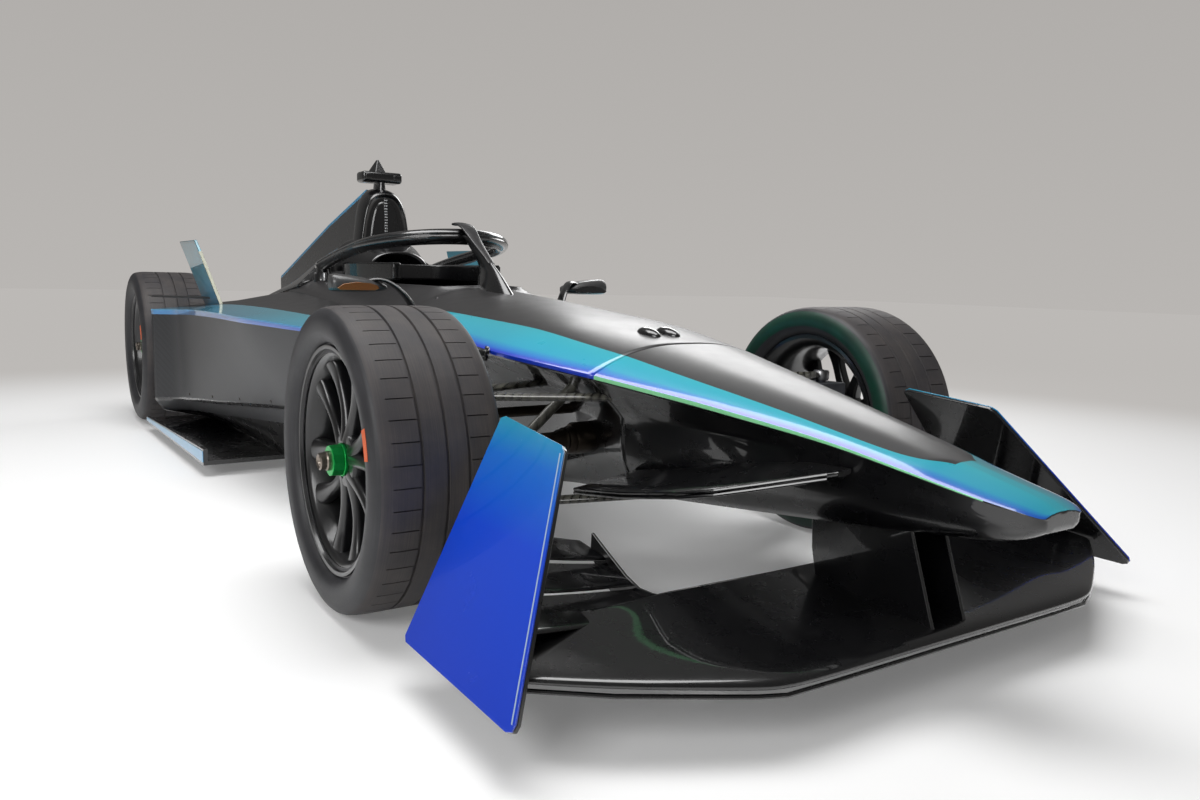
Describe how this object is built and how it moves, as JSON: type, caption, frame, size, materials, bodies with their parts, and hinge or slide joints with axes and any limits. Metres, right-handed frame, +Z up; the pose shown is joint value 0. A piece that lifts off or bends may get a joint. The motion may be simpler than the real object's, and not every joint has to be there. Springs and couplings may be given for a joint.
{
  "type": "open wheel racing car",
  "caption": "Single seat open wheel racing car with halo, finned engine cover, flat sided sidepods, wide front wing and steering front wheels.",
  "frame": {"origin": "on the ground, under the middle of the length and width", "axes": "+X forwards to the nose, +Y to the left, +Z up"},
  "size_m": [5.0163, 1.7, 1.1999],
  "materials": {
    "gloss_carbon": "gloss black lacquer over carbon fibre",
    "satin_carbon": "satin black carbon fibre",
    "carbon_weave": "clear lacquered carbon weave",
    "blue_lacquer": "gloss blue lacquer",
    "teal_lacquer": "pearl teal lacquer",
    "seat_composite": "moulded carbon composite",
    "wheel_grip": "moulded grip rubber on carbon",
    "red_lens": "red moulded lens",
    "cast_housing": "cast and blasted housing",
    "dark_steel": "black oxide steel",
    "machined_aluminium": "machined and hard anodised",
    "tyre_rubber": "moulded tread rubber",
    "wheel_magnesium": "black stove enamel on forged magnesium"
  },
  "bodies": {
    "chassis": {"tub": "gloss_carbon", "nose_cone": "gloss_carbon", "front_wing": "gloss_carbon", "front_flaps": "gloss_carbon", "endplate_right": "blue_lacquer", "endplate_left": "blue_lacquer", "wing_pylons": "gloss_carbon", "side_shelves": "gloss_carbon", "floor": "satin_carbon", "diffuser": "satin_carbon", "sidepod_right": "carbon_weave", "sidepod_left": "carbon_weave", "engine_cover": "gloss_carbon", "roll_hoop": "gloss_carbon", "halo": "gloss_carbon", "headrest": "gloss_carbon", "seat": "seat_composite", "mirror_right": "gloss_carbon", "mirror_left": "gloss_carbon", "camera_pod": "gloss_carbon", "rear_fins": "teal_lacquer", "crash_structure": "satin_carbon", "rain_light": "red_lens", "powertrain": "cast_housing", "front_wishbones": "satin_carbon", "front_pushrods": "satin_carbon", "front_driveshafts": "dark_steel", "rear_wishbones": "satin_carbon", "rear_driveshafts": "dark_steel", "rear_uprights": "machined_aluminium", "winglets": "gloss_carbon"},
    "knuckle_right": {"knuckle_right": "machined_aluminium"},
    "knuckle_left": {"knuckle_left": "machined_aluminium"},
    "rack": {"tie_rods": "dark_steel"},
    "steering": {"steering_wheel": "wheel_grip"},
    "wheel_fr": {"tyre_front_right": "tyre_rubber", "wheel_front_right": "wheel_magnesium"},
    "wheel_fl": {"tyre_front_left": "tyre_rubber", "wheel_front_left": "wheel_magnesium"},
    "wheel_rr": {"tyre_rear_right": "tyre_rubber", "wheel_rear_right": "wheel_magnesium"},
    "wheel_rl": {"tyre_rear_left": "tyre_rubber", "wheel_rear_left": "wheel_magnesium"}
  },
  "joints": [
    {"name": "steer_left", "type": "hinge", "parent": "chassis", "child": "knuckle_left", "pos_m": [1.373, 0.64, 0.329], "axis": [0, 0, 1], "range_deg": [-18, 18]},
    {"name": "steer_right", "type": "hinge", "parent": "chassis", "child": "knuckle_right", "pos_m": [1.373, -0.64, 0.329], "axis": [0, 0, 1], "range_deg": [-18, 18]},
    {"name": "rack_slide", "type": "slide", "parent": "chassis", "child": "rack", "axis": [0, 1, 0], "range_m": [-0.032, 0.032]},
    {"name": "steering_turn", "type": "hinge", "parent": "chassis", "child": "steering", "pos_m": [0.353, 0, 0.6], "axis": [-0.9703, 0, 0.2419], "range_deg": [-144, 144]},
    {"name": "roll_front_left", "type": "hinge", "parent": "knuckle_left", "child": "wheel_fl", "pos_m": [1.373, 0.701, 0.329], "axis": [0, 1, 0], "continuous": true},
    {"name": "roll_front_right", "type": "hinge", "parent": "knuckle_right", "child": "wheel_fr", "pos_m": [1.373, -0.701, 0.329], "axis": [0, 1, 0], "continuous": true},
    {"name": "roll_rear_left", "type": "hinge", "parent": "chassis", "child": "wheel_rl", "pos_m": [-1.597, 0.7005, 0.353], "axis": [0, 1, 0], "continuous": true},
    {"name": "roll_rear_right", "type": "hinge", "parent": "chassis", "child": "wheel_rr", "pos_m": [-1.597, -0.7005, 0.353], "axis": [0, 1, 0], "continuous": true}
  ],
  "couplings": [
    {"joint": "steer_right", "follows": "steer_left", "ratio": 1},
    {"joint": "rack_slide", "follows": "steer_left", "m_per_rad": -0.1},
    {"joint": "steering_turn", "follows": "steer_left", "ratio": 8}
  ]
}
